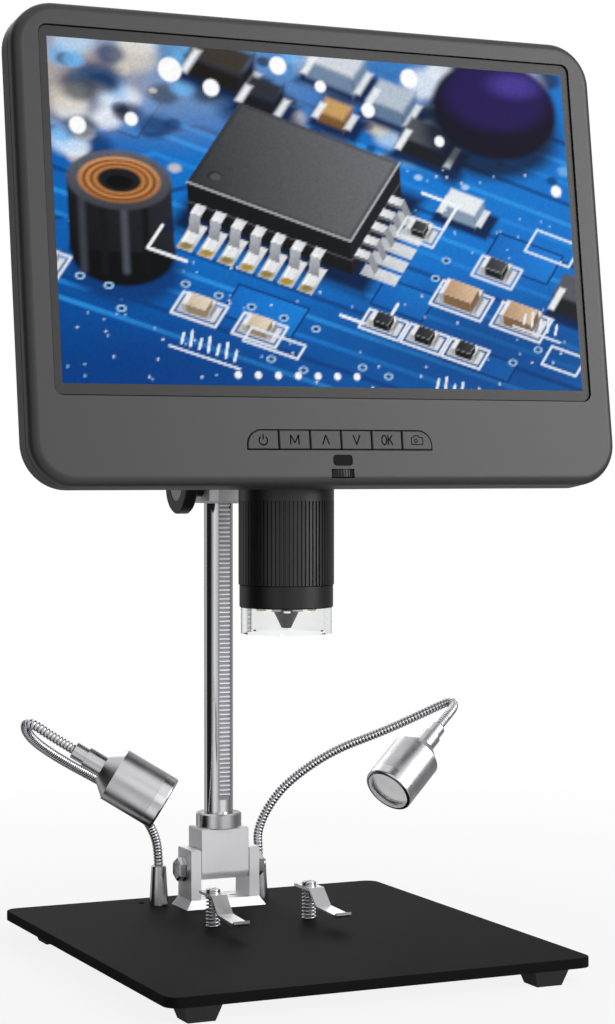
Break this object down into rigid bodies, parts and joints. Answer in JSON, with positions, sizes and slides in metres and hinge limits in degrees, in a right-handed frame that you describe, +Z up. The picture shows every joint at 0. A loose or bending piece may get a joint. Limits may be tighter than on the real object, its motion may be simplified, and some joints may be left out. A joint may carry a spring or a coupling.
{
  "type": "lcd digital microscope",
  "caption": "Desk digital microscope: upright screen with camera head on a rack column, tilting foot, flat base plate, stage clips and gooseneck lamps.",
  "frame": {"origin": "on the bench under the base plate, midway between its sides and ends, in the plane of the feet's undersides", "axes": "+Z up, +X to the right as the user faces the screen, +Y to the back, towards the column"},
  "size_m": [0.2086, 0.1616, 0.3125],
  "materials": {
    "black_steel": "fine matt black powder coat",
    "foot_rubber": "matt moulded rubber",
    "zinc_screw": "bright zinc plating",
    "black_screw": "black oxide",
    "bracket_alloy": "satin anodised",
    "column_chrome": "ground and chromed",
    "rack_steel": "machined steel",
    "cap_black": "matt moulded",
    "bush_white": "plain acetal",
    "knob_black": "satin moulded",
    "knob_grey": "satin moulded",
    "barrel_black": "satin black anodised",
    "ring_black": "satin moulded with ribs",
    "clear_plastic": "clear polished acrylic",
    "lens_glass": "coated optical glass",
    "board_green": "solder mask",
    "housing_grey": "fine textured charcoal",
    "bezel_grey": "satin charcoal",
    "screen_glass": "polished window over a lit picture",
    "panel_black": "display panel",
    "receiver_dark": "dark translucent",
    "key_grey": "satin with printed symbol",
    "wheel_black": "satin knurled",
    "hinge_black": "black painted steel",
    "port_steel": "nickel plated",
    "neck_steel": "wound stainless strip",
    "lamp_alloy": "turned and brushed",
    "clip_steel": "spring steel"
  },
  "bodies": {
    "base": {"base_plate": "black_steel", "base_feet": "foot_rubber", "foot_screws": "black_screw", "column_bracket": "bracket_alloy", "bracket_screws": "black_screw", "tilt_bolt": "zinc_screw", "tilt_nut": "zinc_screw", "lamp_ferrules": "lamp_alloy", "ferrule_nuts": "zinc_screw", "clip_screws": "zinc_screw", "clip_springs": "clip_steel"},
    "left_clip": {"left_clip": "clip_steel"},
    "right_clip": {"right_clip": "clip_steel"},
    "column": {"column_block": "bracket_alloy", "column_collar": "bracket_alloy", "column_rod": "column_chrome", "rack": "rack_steel", "column_cap": "cap_black"},
    "carriage": {"carriage_block": "bracket_alloy", "carriage_bushes": "bush_white", "head_arm": "hinge_black", "arm_screws": "black_screw", "head_housing": "housing_grey", "hinge_yoke": "hinge_black", "hinge_pin": "zinc_screw", "lens_barrel": "barrel_black", "lens_nose": "cap_black", "led_board": "board_green", "clear_cover": "clear_plastic", "sensor_board": "board_green"},
    "pinion": {"pinion_shaft": "rack_steel", "focus_knobs": "knob_black", "knob_inlays": "knob_grey"},
    "focus_ring": {"focus_ring": "ring_black"},
    "lens_cell": {"lens_cell": "barrel_black", "objective_lens": "lens_glass"},
    "screen": {"front_bezel": "bezel_grey", "rear_cover": "housing_grey", "lcd_panel": "panel_black", "screen_window": "screen_glass", "circuit_boards": "board_green", "port_sockets": "port_steel", "receiver_window": "receiver_dark", "screen_hinge": "hinge_black", "case_screws": "black_screw"},
    "thumb_wheel": {"thumb_wheel": "wheel_black"},
    "power_key": {"power_key": "key_grey"},
    "menu_key": {"menu_key": "key_grey"},
    "up_key": {"up_key": "key_grey"},
    "down_key": {"down_key": "key_grey"},
    "ok_key": {"ok_key": "key_grey"},
    "snap_key": {"snap_key": "key_grey"},
    "left_neck": {"left_gooseneck": "neck_steel"},
    "left_lamp": {"left_lamp_head": "lamp_alloy", "left_lamp_ring": "lamp_alloy", "left_lamp_lens": "lens_glass"},
    "right_neck": {"right_gooseneck": "neck_steel"},
    "right_lamp": {"right_lamp_head": "lamp_alloy", "right_lamp_ring": "lamp_alloy", "right_lamp_lens": "lens_glass"}
  },
  "joints": [
    {"name": "column_tilt", "type": "hinge", "parent": "base", "child": "column", "pos_m": [0, 0.0575, 0.0221], "axis": [1, 0, 0], "range_deg": [-10, 15]},
    {"name": "carriage_slide", "type": "slide", "parent": "column", "child": "carriage", "axis": [0, 0, 1], "range_m": [-0.094, 0.035]},
    {"name": "pinion_spin", "type": "hinge", "parent": "carriage", "child": "pinion", "pos_m": [0, 0.04803, 0.1601], "axis": [-1, 0, 0], "range_deg": [-1330, 500]},
    {"name": "focus_turn", "type": "hinge", "parent": "carriage", "child": "focus_ring", "pos_m": [0, -0.0022, 0.14], "axis": [0, 0, 1], "range_deg": [-152, 152]},
    {"name": "lens_travel", "type": "slide", "parent": "carriage", "child": "lens_cell", "axis": [0, 0, 1], "range_m": [-0.003, 0.003]},
    {"name": "screen_tilt", "type": "hinge", "parent": "carriage", "child": "screen", "pos_m": [0, -0.00485, 0.2294], "axis": [1, 0, 0], "range_deg": [-30, 0]},
    {"name": "dimmer_turn", "type": "hinge", "parent": "screen", "child": "thumb_wheel", "pos_m": [0.0006, -0.0405, 0.16388], "axis": [0, 0.1374, 0.9905], "range_deg": [-135, 135]},
    {"name": "power_press", "type": "slide", "parent": "screen", "child": "power_key", "axis": [0, 0.9905, -0.1374], "range_m": [0, 0.0006], "stiffness_N_per_m": 1200, "springref_m": -0.0008},
    {"name": "menu_press", "type": "slide", "parent": "screen", "child": "menu_key", "axis": [0, 0.9905, -0.1374], "range_m": [0, 0.0006], "stiffness_N_per_m": 1200, "springref_m": -0.0008},
    {"name": "up_press", "type": "slide", "parent": "screen", "child": "up_key", "axis": [0, 0.9905, -0.1374], "range_m": [0, 0.0006], "stiffness_N_per_m": 1200, "springref_m": -0.0008},
    {"name": "down_press", "type": "slide", "parent": "screen", "child": "down_key", "axis": [0, 0.9905, -0.1374], "range_m": [0, 0.0006], "stiffness_N_per_m": 1200, "springref_m": -0.0008},
    {"name": "ok_press", "type": "slide", "parent": "screen", "child": "ok_key", "axis": [0, 0.9905, -0.1374], "range_m": [0, 0.0006], "stiffness_N_per_m": 1200, "springref_m": -0.0008},
    {"name": "snap_press", "type": "slide", "parent": "screen", "child": "snap_key", "axis": [0, 0.9905, -0.1374], "range_m": [0, 0.0006], "stiffness_N_per_m": 1200, "springref_m": -0.0008},
    {"name": "left_lamp_swing", "type": "hinge", "parent": "base", "child": "left_neck", "pos_m": [-0.0197, 0.0666, 0.0222], "axis": [0, 0, 1], "range_deg": [-25, 25]},
    {"name": "left_lamp_tilt", "type": "hinge", "parent": "left_neck", "child": "left_lamp", "pos_m": [-0.07547, -0.00103, 0.07427], "axis": [-0.428, -0.9038, 0], "range_deg": [-25, 25]},
    {"name": "right_lamp_swing", "type": "hinge", "parent": "base", "child": "right_neck", "pos_m": [0.0197, 0.0666, 0.0222], "axis": [0, 0, -1], "range_deg": [-25, 25]},
    {"name": "right_lamp_tilt", "type": "hinge", "parent": "right_neck", "child": "right_lamp", "pos_m": [0.07155, 0.0236, 0.07245], "axis": [-0.3984, 0.9172, 0], "range_deg": [-25, 25]},
    {"name": "left_clip_swing", "type": "hinge", "parent": "base", "child": "left_clip", "pos_m": [-0.0182, 0.0189, 0.0195], "axis": [0, 0, 1], "range_deg": [-40, 40]},
    {"name": "right_clip_swing", "type": "hinge", "parent": "base", "child": "right_clip", "pos_m": [0.0182, 0.0189, 0.0195], "axis": [0, 0, 1], "range_deg": [-40, 40]}
  ],
  "couplings": [
    {"joint": "pinion_spin", "follows": "carriage_slide", "rad_per_m": 245.44},
    {"joint": "focus_turn", "follows": "lens_travel", "rad_per_m": 872.66}
  ]
}
